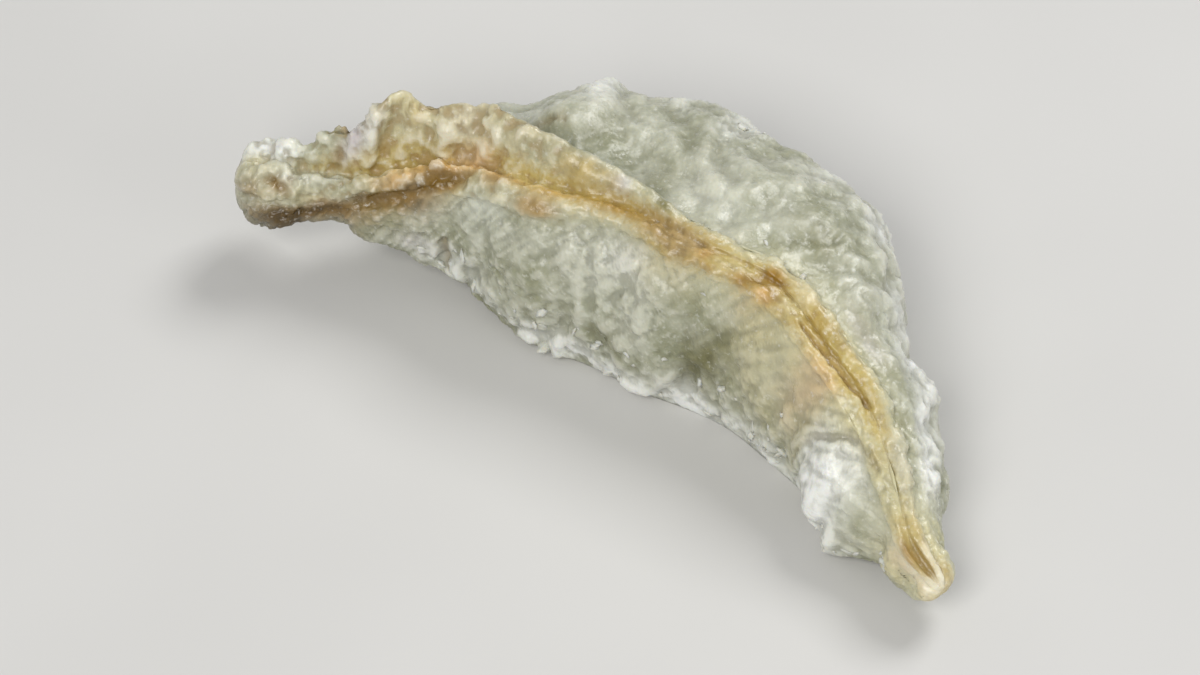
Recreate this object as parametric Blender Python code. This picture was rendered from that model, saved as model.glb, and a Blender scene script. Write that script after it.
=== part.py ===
"""A fried gyoza: one crescent dumpling, shut along a pinched crest that runs from tip to tip.

The object is a single closed solid, because nothing of the filling shows.
Units are metres and +Z is up. The dumpling stands on its flattened base at Z = 0, with its chord
along X, the frilled end at -X, the folded tip at +X, and the outer side of the crescent at +Y.
The origin is at the base, in the middle of the object's footprint.

The form is a loft. At each station from end to end a closed section is drawn from a few named
sizes, and the sections are joined by quads. Crimps, dents and blisters are then raised on the skin.
"""

import math

import bmesh
import bpy
import numpy as np
from mathutils import Vector, noise

# Driving dimensions of the whole dumpling. The reaches run out from the seam to either side.
LENGTH = 0.0777
BOW = 0.0128
CREST_HEIGHT = 0.0188
FRONT_REACH = 0.0070
BACK_REACH = 0.0176

# How the sizes change along the dumpling, as (share of the length from the frilled end, value).
# A value that multiplies a driving dimension is a share of it, and the others are in metres.
BOW_SHARE = (
    (0.0, 0.0), (0.10, 0.27), (0.22, 0.60), (0.40, 0.83), (0.58, 0.98),
    (0.72, 0.90), (0.82, 0.69), (0.88, 0.45), (0.95, 0.13), (1.0, 0.03),
)
ROOT_SHARE = (
    (0.0, 0.50), (0.055, 0.50), (0.10, 0.50), (0.20, 0.66), (0.34, 0.83), (0.50, 0.89),
    (0.66, 0.87), (0.80, 0.70), (0.90, 0.46), (1.0, 0.30),
)
FRONT_SHARE = (
    (0.0, 0.41), (0.05, 0.39), (0.10, 0.31), (0.20, 0.36), (0.34, 0.65), (0.42, 0.80), (0.50, 0.86),
    (0.56, 0.72), (0.68, 0.79), (0.79, 0.70), (0.86, 0.88), (0.89, 0.70), (0.92, 0.31), (1.0, 0.20),
)
BACK_SHARE = (
    (0.0, 0.19), (0.05, 0.17), (0.09, 0.13), (0.17, 0.35), (0.27, 0.82), (0.40, 1.11),
    (0.55, 1.09), (0.66, 0.92), (0.75, 0.54), (0.81, 0.45), (0.88, 0.29), (0.94, 0.19), (1.0, 0.15),
)
UNDERSIDE = (
    (0.0, 0.0052), (0.10, 0.0063), (0.15, 0.0058), (0.20, 0.0040), (0.28, 0.0008), (0.34, 0.0),
    (0.86, 0.0), (0.94, 0.0022), (1.0, 0.0034),
)
FRONT_LIP = (
    (0.0, 0.0022), (0.06, 0.0022), (0.10, 0.0022), (0.16, 0.0020),
    (0.35, 0.0014), (0.50, 0.0010), (0.80, 0.0009), (1.0, 0.0009),
)
BACK_LIP = (
    (0.0, 0.0014), (0.04, 0.0032), (0.07, 0.0034), (0.10, 0.0060), (0.135, 0.0058), (0.16, 0.0080),
    (0.20, 0.0056), (0.30, 0.0048), (0.42, 0.0026), (0.55, 0.0012), (0.75, 0.0010), (1.0, 0.0009),
)
LIP_LEAN = ((0.0, 0.0), (0.10, 0.0002), (0.20, 0.0026), (0.34, 0.0020), (0.48, 0.0004), (1.0, 0.0))
CREST_HALF = (
    (0.0, 0.0027), (0.06, 0.0027), (0.10, 0.0018), (0.18, 0.0022),
    (0.50, 0.0022), (0.85, 0.0019), (0.94, 0.0013), (1.0, 0.0010),
)

# The least that the body stands out past the crest on either side.
LEAST_SHOULDER = 0.0008

# Places round the section, counted in control points from the groove down the front and round.
FRONT_ROOT = 3
BACK_ROOT = 15
CONTROLS = 19

# How far to either side the crescent's sweep is read when a section is set square to it.
TURN_REACH = 0.04

# The pinched crest: its groove, its wander from side to side, and the frills near the -X end.
GROOVE_DEPTH = 0.0004
SEAM_WANDER = 0.0005
SEAM_WAVES = 9.5
FRILL_END = 0.42
RUFFLE = 0.0008
RUFFLE_PITCH = 0.083
SCALLOP = 0.0005
SCALLOP_PITCH = 0.052
CRIMP = 0.00030
CRIMP_PITCH = 0.043
END_ROUND = (0.046, 0.036)

# Bumps and dents of the wrapper, each as (share of the length, place round the section, reach
# along as a share of the length, reach round in places, height in metres).
BUMPS = (
    (0.055, 16.0, 0.016, 1.6, 0.0003),
    (0.146, 16.5, 0.018, 1.6, 0.0009),
    (0.185, 1.5, 0.020, 1.4, -0.0004),
    (0.335, 12.2, 0.038, 1.6, 0.0018),
    (0.350, 5.0, 0.050, 1.3, 0.0004),
    (0.430, 13.6, 0.045, 1.2, -0.0006),
    (0.525, 5.3, 0.024, 1.8, 0.0004),
    (0.578, 5.2, 0.018, 1.8, -0.0006),
    (0.600, 12.4, 0.050, 1.3, 0.0005),
    (0.680, 13.4, 0.030, 1.4, -0.0005),
    (0.745, 5.2, 0.020, 2.2, -0.0005),
    (0.800, 4.6, 0.030, 1.2, 0.0004),
    (0.860, 5.6, 0.024, 1.8, 0.0007),
    (0.925, 4.5, 0.012, 2.0, -0.0006),
    (0.840, 12.6, 0.030, 1.2, -0.0004),
)

# Relief that covers the skin: broad lumps, soft folds that fan down from the crest, and blisters.
LUMP_SIZE, LUMP_HEIGHT = 0.0065, 0.00080
FOLD_PITCH, FOLD_HEIGHT, FOLD_STRAY = 0.080, 0.00020, 1.6
BLISTER_SIZE, BLISTER_HEIGHT = 0.0027, 0.00075
BLISTER_MEAN = 0.28
SKIN_OFFSET = Vector((3.1, 7.7, 1.9))
BASE_FADE = 0.0014
CREASE_CALM, CREASE_REACH = 0.8, 0.9
END_RELIEF, END_REACH = 0.35, 0.14

# Mesh density: stations along the dumpling, and steps round in each stretch between controls.
STATIONS = 112
STEPS_ROUND = (2, 2, 2, 3, 4, 3, 2, 3, 3, 2, 3, 3, 3, 2, 2, 2, 2, 1, 2)
END_CROWDING = 0.62

SKIN_COLOUR = (0.44, 0.43, 0.31, 1.0)
SKIN_ROUGHNESS = 0.42


def keyed(keys, u):
    """The value at u of a smooth curve through (place, value) keys."""
    places, values = np.array(keys).T
    slopes = np.gradient(values, places)
    i = min(max(int(np.searchsorted(places, u)) - 1, 0), len(places) - 2)
    span = places[i + 1] - places[i]
    t = (u - places[i]) / span
    rise = 3 * t**2 - 2 * t**3
    leave = (t**3 - 2 * t**2 + t) * span * slopes[i]
    arrive = (t**3 - t**2) * span * slopes[i + 1]
    return values[i] + (values[i + 1] - values[i]) * rise + leave + arrive


def frill(u):
    """How frilled the crest is at u, from 1 at the -X end to 0 where it runs smooth."""
    return max(0.0, 1.0 - u / FRILL_END)


def seam_point(u):
    """(x, y) of the seam in plan at share u of the length, with the chord's ends at y = 0."""
    wander = SEAM_WANDER * math.sin(SEAM_WAVES * math.pi * u + 0.6) * math.sin(math.pi * u)
    return np.array([LENGTH * (u - 0.5), BOW * keyed(BOW_SHARE, u) + wander])


def across_seam(u):
    """Unit vector in plan from the seam to the outer side, square to the sweep of the crescent."""
    near, far = max(u - TURN_REACH, 0.0), min(u + TURN_REACH, 1.0)
    run = LENGTH * (far - near)
    rise = BOW * (keyed(BOW_SHARE, far) - keyed(BOW_SHARE, near))
    return np.array([-rise, run]) / math.hypot(run, rise)


def end_scale(u):
    """How much of its size a section keeps: 0 at either end, and all of it past the rounding."""
    near = min(u / END_ROUND[0], (1 - u) / END_ROUND[1], 1.0)
    return math.sqrt(max(1 - (1 - near) ** 2, 0.0))


def section_controls(u):
    """The section's control points (n, z) at u, where n runs from the seam to the outer side.

    They start in the groove on the crest, and go down the front, along the base and up the back.
    """
    under = keyed(UNDERSIDE, u)
    root = CREST_HEIGHT * keyed(ROOT_SHARE, u)
    half = keyed(CREST_HALF, u)
    front = max(FRONT_REACH * keyed(FRONT_SHARE, u), half + LEAST_SHOULDER)
    back = max(BACK_REACH * keyed(BACK_SHARE, u), half + LEAST_SHOULDER)
    lean = keyed(LIP_LEAN, u) + RUFFLE * math.sin(2 * math.pi * u / RUFFLE_PITCH) * frill(u)
    front_lip = keyed(FRONT_LIP, u)
    back_lip = keyed(BACK_LIP, u) + SCALLOP * math.sin(2 * math.pi * u / SCALLOP_PITCH) * frill(u)
    deep = root - under
    return np.array([
        (lean * 0.35, root + front_lip - GROOVE_DEPTH),
        (lean * 0.20 - half * 0.55, root + front_lip),
        (-half, root + front_lip * 0.45),
        (-half - (front - half) * 0.08, root - deep * 0.05),
        (-half - (front - half) * 0.64, root - deep * 0.22),
        (-front, under + deep * 0.48),
        (-front * 0.92, under + deep * 0.17),
        (-front * 0.62, under),
        ((back - front) * 0.5, under),
        (back * 0.66, under),
        (back * 0.93, under + deep * 0.20),
        (back, under + deep * 0.46),
        (half + (back - half) * 0.85, under + deep * 0.79),
        (half + (back - half) * 0.48, under + deep * 0.97),
        (half + (back - half) * 0.19, root - deep * 0.01),
        (half, root + back_lip * 0.10),
        (half + lean * 0.6, root + back_lip * 0.50),
        (half * 0.72 + lean, root + back_lip * 0.97),
        (half * 0.25 + lean * 0.85, root + back_lip * 0.90),
    ])


def places_round(steps):
    """The place of each ring point round the section, counted in control points."""
    return np.concatenate([i + np.arange(stretch) / stretch for i, stretch in enumerate(steps)])


def round_curve(controls, places):
    """Points at those places on a closed Catmull-Rom curve through the control points."""
    index = places.astype(int)
    t = (places - index)[:, None]
    a, b, c, d = (controls[(index + k) % len(controls)] for k in (-1, 0, 1, 2))
    square = (2 * a - 5 * b + 4 * c - d) * t**2
    cube = (3 * b - a - 3 * c + d) * t**3
    return 0.5 * (2 * b + (c - a) * t + square + cube)


def station_places(count):
    """Shares of the length for the stations, crowded at both ends where the form rounds off."""
    even = np.linspace(0.0, 1.0, count + 2)[1:-1]
    return even - END_CROWDING * np.sin(2 * math.pi * even) / (2 * math.pi)


def smooth_skin(stations, places):
    """The plain form's points, as an array of (station, ring point, xyz)."""
    rows = []
    for u in stations:
        ring = round_curve(section_controls(u), places)
        middle = ring.mean(axis=0)
        ring = middle + (ring - middle) * end_scale(u)
        plan = seam_point(u) + ring[:, :1] * across_seam(u)
        rows.append(np.column_stack([plan, ring[:, 1]]))
    return np.array(rows)


def outward_normals(skin):
    """Unit normals of the grid, facing out."""
    along = np.gradient(skin, axis=0)
    round_section = np.roll(skin, -1, axis=1) - np.roll(skin, 1, axis=1)
    normals = np.cross(round_section, along)
    return normals / np.maximum(np.linalg.norm(normals, axis=2, keepdims=True), 1e-12)


def lip_share(place):
    """1 on the pinched lips, and 0 from their roots down."""
    up = min(place, CONTROLS - place)
    return min(max(FRONT_ROOT - up, 0.0), 1.0)


def calm(place):
    """Share of the relief that is kept at a place: less in the groove and at the crest's roots."""
    kept = 1.0
    for crease in (0, FRONT_ROOT, BACK_ROOT, CONTROLS):
        kept *= 1 - CREASE_CALM * math.exp(-(((place - crease) / CREASE_REACH) ** 2))
    return kept


def bumps(u, place):
    """Height of the single bumps and dents at a share of the length and a place round."""
    height = 0.0
    for at, centre, reach, spread, size in BUMPS:
        away = abs(place - centre)
        away = min(away, CONTROLS - away)
        height += size * math.exp(-(((u - at) / reach) ** 2) - (away / spread) ** 2)
    return height


def blister(point, size):
    """A dome over each random cell of that size, from under 0 at its rim to over 0 at its top."""
    gaps, centres = noise.voronoi(point / size + SKIN_OFFSET)
    width = 0.62 + 0.20 * noise.cell(centres[0] * 17.3)
    return max(0.0, 1.0 - (gaps[0] / width) ** 2) * width - BLISTER_MEAN


def slim(u):
    """Share of the relief that is kept at u: less where the dumpling narrows to its ends."""
    return min(1.0, END_RELIEF + (1 - END_RELIEF) * min(u, 1 - u) / END_REACH)


def relief(point, u, place):
    """Height of the folds, crimps, lumps and blisters over the plain form."""
    lips = lip_share(place)
    crimps = CRIMP * math.sin(2 * math.pi * u / CRIMP_PITCH) * frill(u) * lips
    turns = u / FOLD_PITCH + FOLD_STRAY * noise.noise(point / (1.5 * LUMP_SIZE) + SKIN_OFFSET)
    folds = FOLD_HEIGHT * math.sin(2 * math.pi * turns)
    lumps = LUMP_HEIGHT * noise.noise(point / LUMP_SIZE + SKIN_OFFSET)
    patch = 0.55 + 0.9 * noise.noise(point / (2.2 * LUMP_SIZE) - SKIN_OFFSET)
    raised = BLISTER_HEIGHT * blister(point, BLISTER_SIZE) * min(max(patch, 0.15), 1.0)
    skin = lumps + (1 - lips) * folds + (1 - 0.5 * lips) * raised
    return bumps(u, place) + crimps + calm(place) * slim(u) * skin


def fried_skin(stations, places):
    """The finished skin's points: the plain form with its relief, flat where it stands."""
    skin = smooth_skin(stations, places)
    normals = outward_normals(skin)
    for row, u in enumerate(stations):
        for column, place in enumerate(places):
            point = Vector(skin[row, column])
            height = relief(point, u, place) * min(max(point.z / BASE_FADE, 0.0), 1.0)
            skin[row, column] += normals[row, column] * height
    skin[..., 2] = np.maximum(skin[..., 2], 0.0)
    return skin


def centre_footprint(skin):
    """Moves the skin so that the origin is in the middle of its footprint."""
    low, high = skin.min(axis=(0, 1)), skin.max(axis=(0, 1))
    skin[..., :2] -= (low[:2] + high[:2]) / 2
    return skin


def skin_mesh(name, skin):
    """A closed mesh that joins the sections by quads, with a fan over the last one at each end."""
    bm = bmesh.new()
    rings = [[bm.verts.new(point) for point in row] for row in skin]
    for near, far in zip(rings, rings[1:]):
        for i, corner in enumerate(near):
            j = (i + 1) % len(near)
            bm.faces.new((corner, near[j], far[j], far[i]))
    for ring, row in ((rings[0], skin[0]), (rings[-1], skin[-1])):
        centre = bm.verts.new(row.mean(axis=0))
        for i, corner in enumerate(ring):
            bm.faces.new((centre, corner, ring[(i + 1) % len(ring)]))
    bmesh.ops.recalc_face_normals(bm, faces=bm.faces)
    mesh = bpy.data.meshes.new(name)
    bm.to_mesh(mesh)
    bm.free()
    mesh.shade_smooth()
    return mesh


def wrapper_material():
    """Thin fried dough: pale grey-green cream with a slight gloss."""
    material = bpy.data.materials.new("wrapper")
    material.use_nodes = True
    shader = material.node_tree.nodes["Principled BSDF"]
    shader.inputs["Base Color"].default_value = SKIN_COLOUR
    shader.inputs["Roughness"].default_value = SKIN_ROUGHNESS
    shader.inputs["Metallic"].default_value = 0.0
    return material


def main():
    for old in list(bpy.data.objects):
        bpy.data.objects.remove(old)
    collection = bpy.data.collections.new("gyoza")
    bpy.context.scene.collection.children.link(collection)
    skin = centre_footprint(fried_skin(station_places(STATIONS), places_round(STEPS_ROUND)))
    gyoza = bpy.data.objects.new("gyoza", skin_mesh("gyoza", skin))
    gyoza.data.materials.append(wrapper_material())
    collection.objects.link(gyoza)


main()
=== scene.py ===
"""Looks of a fried gyoza: thin blistered dough, golden along the crest where it was pinched shut.

Units are metres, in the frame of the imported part: the base is at Z = 0, the frilled end at -X, the
folded tip at +X, and the outer side of the crescent at +Y. The skin is the part's own loft on a
finer grid, with finer relief, and its colours follow masks that are stored on its points.
"""

import math
import random

import bmesh
import bpy
import numpy as np
from mathutils import Matrix, Vector, noise


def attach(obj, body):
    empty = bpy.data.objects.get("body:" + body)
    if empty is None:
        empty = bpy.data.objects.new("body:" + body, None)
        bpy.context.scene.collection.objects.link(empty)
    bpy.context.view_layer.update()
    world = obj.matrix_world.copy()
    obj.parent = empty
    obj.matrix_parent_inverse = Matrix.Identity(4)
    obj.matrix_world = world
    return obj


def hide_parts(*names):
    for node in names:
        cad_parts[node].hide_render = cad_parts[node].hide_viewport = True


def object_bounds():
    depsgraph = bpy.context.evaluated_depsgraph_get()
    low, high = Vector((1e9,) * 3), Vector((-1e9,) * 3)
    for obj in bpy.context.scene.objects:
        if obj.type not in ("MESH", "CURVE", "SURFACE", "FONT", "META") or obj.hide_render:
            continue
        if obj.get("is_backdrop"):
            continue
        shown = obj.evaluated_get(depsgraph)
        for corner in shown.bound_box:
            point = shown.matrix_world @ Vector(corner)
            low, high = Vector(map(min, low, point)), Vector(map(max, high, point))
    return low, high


# The form, with the same sizes as the part's source.
LENGTH = 0.0777
BOW = 0.0128
CREST_HEIGHT = 0.0188
FRONT_REACH = 0.0070
BACK_REACH = 0.0176
BOW_SHARE = (
    (0.0, 0.0), (0.10, 0.27), (0.22, 0.60), (0.40, 0.83), (0.58, 0.98),
    (0.72, 0.90), (0.82, 0.69), (0.88, 0.45), (0.95, 0.13), (1.0, 0.03),
)
ROOT_SHARE = (
    (0.0, 0.50), (0.055, 0.50), (0.10, 0.50), (0.20, 0.66), (0.34, 0.83), (0.50, 0.89),
    (0.66, 0.87), (0.80, 0.70), (0.90, 0.46), (1.0, 0.30),
)
FRONT_SHARE = (
    (0.0, 0.41), (0.05, 0.39), (0.10, 0.31), (0.20, 0.36), (0.34, 0.65), (0.42, 0.80), (0.50, 0.86),
    (0.56, 0.72), (0.68, 0.79), (0.79, 0.70), (0.86, 0.88), (0.89, 0.70), (0.92, 0.31), (1.0, 0.20),
)
BACK_SHARE = (
    (0.0, 0.19), (0.05, 0.17), (0.09, 0.13), (0.17, 0.35), (0.27, 0.82), (0.40, 1.11),
    (0.55, 1.09), (0.66, 0.92), (0.75, 0.54), (0.81, 0.45), (0.88, 0.29), (0.94, 0.19), (1.0, 0.15),
)
UNDERSIDE = (
    (0.0, 0.0052), (0.10, 0.0063), (0.15, 0.0058), (0.20, 0.0040), (0.28, 0.0008), (0.34, 0.0),
    (0.86, 0.0), (0.94, 0.0022), (1.0, 0.0034),
)
FRONT_LIP = (
    (0.0, 0.0022), (0.06, 0.0022), (0.10, 0.0022), (0.16, 0.0020),
    (0.35, 0.0014), (0.50, 0.0010), (0.80, 0.0009), (1.0, 0.0009),
)
BACK_LIP = (
    (0.0, 0.0014), (0.04, 0.0032), (0.07, 0.0034), (0.10, 0.0060), (0.135, 0.0058), (0.16, 0.0080),
    (0.20, 0.0056), (0.30, 0.0048), (0.42, 0.0026), (0.55, 0.0012), (0.75, 0.0010), (1.0, 0.0009),
)
LIP_LEAN = ((0.0, 0.0), (0.10, 0.0002), (0.20, 0.0026), (0.34, 0.0020), (0.48, 0.0004), (1.0, 0.0))
CREST_HALF = (
    (0.0, 0.0027), (0.06, 0.0027), (0.10, 0.0018), (0.18, 0.0022),
    (0.50, 0.0022), (0.85, 0.0019), (0.94, 0.0013), (1.0, 0.0010),
)
LEAST_SHOULDER = 0.0008
FRONT_ROOT = 3
BACK_ROOT = 15
CONTROLS = 19
TURN_REACH = 0.04
GROOVE_DEPTH = 0.0004
SEAM_WANDER = 0.0005
SEAM_WAVES = 9.5
FRILL_END = 0.42
RUFFLE = 0.0008
RUFFLE_PITCH = 0.083
SCALLOP = 0.0005
SCALLOP_PITCH = 0.052
CRIMP = 0.00030
CRIMP_PITCH = 0.043
END_ROUND = (0.046, 0.036)
BUMPS = (
    (0.055, 16.0, 0.016, 1.6, 0.0003),
    (0.146, 16.5, 0.018, 1.6, 0.0009),
    (0.185, 1.5, 0.020, 1.4, -0.0004),
    (0.335, 12.2, 0.038, 1.6, 0.0018),
    (0.350, 5.0, 0.050, 1.3, 0.0004),
    (0.430, 13.6, 0.045, 1.2, -0.0006),
    (0.525, 5.3, 0.024, 1.8, 0.0004),
    (0.578, 5.2, 0.018, 1.8, -0.0006),
    (0.600, 12.4, 0.050, 1.3, 0.0005),
    (0.680, 13.4, 0.030, 1.4, -0.0005),
    (0.745, 5.2, 0.020, 2.2, -0.0005),
    (0.800, 4.6, 0.030, 1.2, 0.0004),
    (0.860, 5.6, 0.024, 1.8, 0.0007),
    (0.925, 4.5, 0.012, 2.0, -0.0006),
    (0.840, 12.6, 0.030, 1.2, -0.0004),
)
LUMP_SIZE, LUMP_HEIGHT = 0.0065, 0.00080
FOLD_PITCH, FOLD_HEIGHT, FOLD_STRAY = 0.080, 0.00020, 1.6
BLISTER_SIZE, BLISTER_HEIGHT = 0.0027, 0.00075
BLISTER_MEAN = 0.28
SKIN_OFFSET = Vector((3.1, 7.7, 1.9))
BASE_FADE = 0.0014
CREASE_CALM, CREASE_REACH = 0.8, 0.9
END_RELIEF, END_REACH = 0.35, 0.14

# The finer grid.
STATIONS = 428
FINER_ROUND = 5
STEPS_ROUND = tuple(
    FINER_ROUND * steps for steps in (2, 2, 2, 3, 4, 3, 2, 3, 3, 2, 3, 3, 3, 2, 2, 2, 2, 1, 2)
)
END_CROWDING = 0.35

# Places on the skin are (share of the length, side). The side counts places out from the groove on
# the crest, above 0 down the front and below 0 down the back. A pair of places for a fade runs from
# where there is nothing of the effect to where there is all of it.

# Finer relief: small blisters, fibres that run down from the crest, crinkles and crumpled edges.
BUBBLES = ((0.0015, 0.00018, Vector((11.0, 2.0, 5.0))), (0.0009, 0.00016, Vector((4.0, 9.0, 13.0))))
BUBBLE_WIDTH, BUBBLE_WIDTH_STRAY = 0.50, 0.22
BUBBLE_PATCH, BUBBLE_SHARE, BUBBLE_SHARE_STRAY, BUBBLE_LEAST = 0.0055, 0.55, 1.1, 0.08
FIBRE_WIDTH, FIBRE_LENGTH, FIBRE_SLANT, FIBRE_HEIGHT = 0.0013, 0.0052, 0.90, 0.00022
FIBRE_DRIFT, FIBRE_MEAN = 0.3, 0.3
FIBRES_FRONT, FIBRES_BACK = 1.50, 1.05
CRINKLE_SIZE, CRINKLE_HEIGHT = 0.0008, 0.00012
CRUMPLE_SIZE, CRUMPLE_HEIGHT = 0.0016, 0.00055
CRUMPLE_LEAST, CRUMPLE_FADE = 0.22, (0.36, 0.26)
STREAK_WIDTH, STREAK_LENGTH, STREAK_HEIGHT = 0.0009, 0.0080, 0.00007
CREST_FADE = (3.0, 2.0)
CREST_SPARED = 0.6
RIMS = ((5.8, 0.8), (-7.0, 0.9))
RIM_FADES = ((0.14, 0.24), (0.96, 0.88))
RAGGED_SIZE, RAGGED_HEIGHT = 0.0024, 0.00045
MOST_SMOOTHED = 0.9
TIP_FADE, STANDING_FADE = 0.02, 0.0008

# How far the places of creases and patches wander, and over what distance in metres.
WANDER_ALONG, WANDER_ALONG_SIZE = 0.0050, 0.0035
WANDER_ROUND, WANDER_ROUND_SIZE = 0.22, 0.003
PACE_LIMITS = (0.0004, 0.006)

# Creases and pits, each as (start, end, half width in metres, depth in metres, shade).
CREASES = (
    ((0.716, 0.9), (0.822, 0.1), 0.00030, 0.00036, 0.55),
    ((0.637, 1.5), (0.655, -1.4), 0.00085, 0.00020, 0.12),
    ((0.640, 0.5), (0.678, 0.9), 0.00060, 0.00022, 0.45),
    ((0.212, 2.3), (0.219, 1.5), 0.00045, 0.00050, 0.55),
    ((0.219, 1.5), (0.262, 1.05), 0.00050, 0.00035, 0.45),
    ((0.225, 1.6), (0.165, 3.2), 0.00110, 0.00034, 0.30),
    ((0.165, 2.4), (0.105, 5.0), 0.00090, 0.00030, 0.25),
    ((0.050, 1.4), (0.060, 1.7), 0.00065, 0.00080, 0.75),
    ((0.236, 5.1), (0.246, 5.9), 0.00040, 0.00045, 0.35),
    ((0.110, -0.2), (0.116, -0.6), 0.00060, 0.00035, 0.30),
    ((0.879, 1.3), (0.779, 5.1), 0.00045, 0.00032, 0.15),
    ((0.956, 0.3), (0.980, 0.2), 0.00075, 0.00035, 0.22),
    ((0.300, -5.5), (0.335, -5.7), 0.00040, 0.00030, 0.30),
    ((0.560, 5.9), (0.645, 3.9), 0.00080, 0.00024, 0.0),
)

# Corners and lumps of the wrapper that stand out, and hollows, as patches of height in metres.
CORNERS = (
    (0.034, 1.1, 0.010, 0.70, 0.00040), (0.056, 0.3, 0.016, 0.50, 0.00050),
    (0.080, 1.3, 0.010, 0.70, 0.00040), (0.178, 1.3, 0.022, 0.75, 0.00055),
    (0.226, 5.7, 0.006, 0.50, 0.00055), (0.262, 5.9, 0.006, 0.50, 0.00050),
    (0.405, 6.2, 0.006, 0.50, 0.00040), (0.450, 6.0, 0.007, 0.50, 0.00035),
    (0.500, 5.9, 0.010, 0.50, 0.00030), (0.855, 5.0, 0.018, 0.80, 0.00035),
    (0.884, 5.8, 0.008, 0.60, 0.00140), (0.888, 0.0, 0.032, 0.45, 0.00055),
    (0.968, 4.6, 0.020, 1.80, -0.00100),
    (0.150, -0.9, 0.007, 0.45, 0.00040), (0.172, -0.8, 0.006, 0.40, -0.00035),
    (0.196, -0.75, 0.008, 0.40, 0.00045), (0.228, -0.7, 0.009, 0.40, 0.00045),
    (0.255, -0.9, 0.006, 0.50, -0.00030), (0.282, -0.75, 0.009, 0.50, 0.00045),
    (0.300, -4.9, 0.012, 1.00, 0.00025),
)

# How far the golden crest reaches down either side from the groove, in metres.
GOLD_FRONT = (
    (0.0, 0.0004), (0.1, 0.0008), (0.2, 0.0026), (0.3, 0.0022), (0.36, 0.0030), (0.42, 0.0027),
    (0.48, 0.0030), (0.54, 0.0035), (0.62, 0.0034), (0.7, 0.0034), (0.78, 0.0030), (0.86, 0.0015),
    (0.92, 0.0014), (1.0, 0.0045),
)
GOLD_BACK = (
    (0.0, 0.0002), (0.1, 0.0018), (0.15, 0.0030), (0.2, 0.0026), (0.28, 0.0022), (0.38, 0.0020),
    (0.48, 0.0016), (0.56, 0.0022), (0.61, 0.0020), (0.68, 0.0030), (0.78, 0.0030), (0.86, 0.0015),
    (0.92, 0.0016), (1.0, 0.0045),
)
GOLD_FADE, GOLD_STRAY, HALO = 0.0013, 0.0005, 0.0042

# How uneven the tints are, where the crest shows its frills, and how the relief is read for colour:
# as a height over its own blurred form. That height paints shade into the hollows and highlight
# onto the tops, more weakly on the back.
TINT_GRAIN, TINT_STRAY = 0.0035, 0.35
FRILLS_ROUND, FRILLS_ALONG = (3.2, 2.4), (0.44, 0.34)
BEAD_FRILLS, BEAD_FADE = 0.45, (0.08, 0.13)
HIGH_PASSES, HIGH_ON_BACK, BACK_FROM = 12, 0.62, -3.0

# Colours of the dough, the crumbs and the floor, as a screen shows them. Pairs go from the darker
# to the lighter one, apart from the gold, which turns deeper.
SKIN = ((149, 151, 122), (190, 191, 171))
# Painted shade for the hollows of the relief, and painted highlight for its tops.
SKIN_PAINTED_SHADE, SKIN_PAINTED_HIGHLIGHT = (122, 121, 88), (226, 226, 213)
BY_THE_CREST = (208, 204, 168)
GOLD = ((198, 177, 104), (180, 154, 76))
GOLD_STREAKS = ((164, 140, 78), (210, 196, 146))
# Painted shade for the gold's hollows and painted highlight for its tops, then the gold's edge.
GOLD_PAINTED_SHADE, GOLD_PAINTED_HIGHLIGHT, GOLD_EDGE = (160, 130, 70), (212, 200, 157), (212, 204, 164)
# Painted golden-brown shade between the lumps of the frills, and painted highlight on their tops.
FRILL_PAINTED_SHADE, FRILL_PAINTED_HIGHLIGHT = (176, 146, 92), (236, 230, 208)
CREASE_SHADE = (140, 108, 40)
# Small white specks, which are painted glints.
PAINTED_GLINTS = (236, 236, 228)
CRUMB_PALE, CRUMB_BROWN, CRUMB_GRAIN = (224, 224, 214), (200, 176, 122), (204, 200, 180)
FLOOR = ((208, 207, 204), (212, 211, 208))
# How much darker each tint is painted in the hollows and lighter on the tops: painted shade and
# highlight.
TINT_PAINTED_SHADE_SCALE, TINT_PAINTED_HIGHLIGHT_SCALE = 0.90, 1.05

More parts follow.
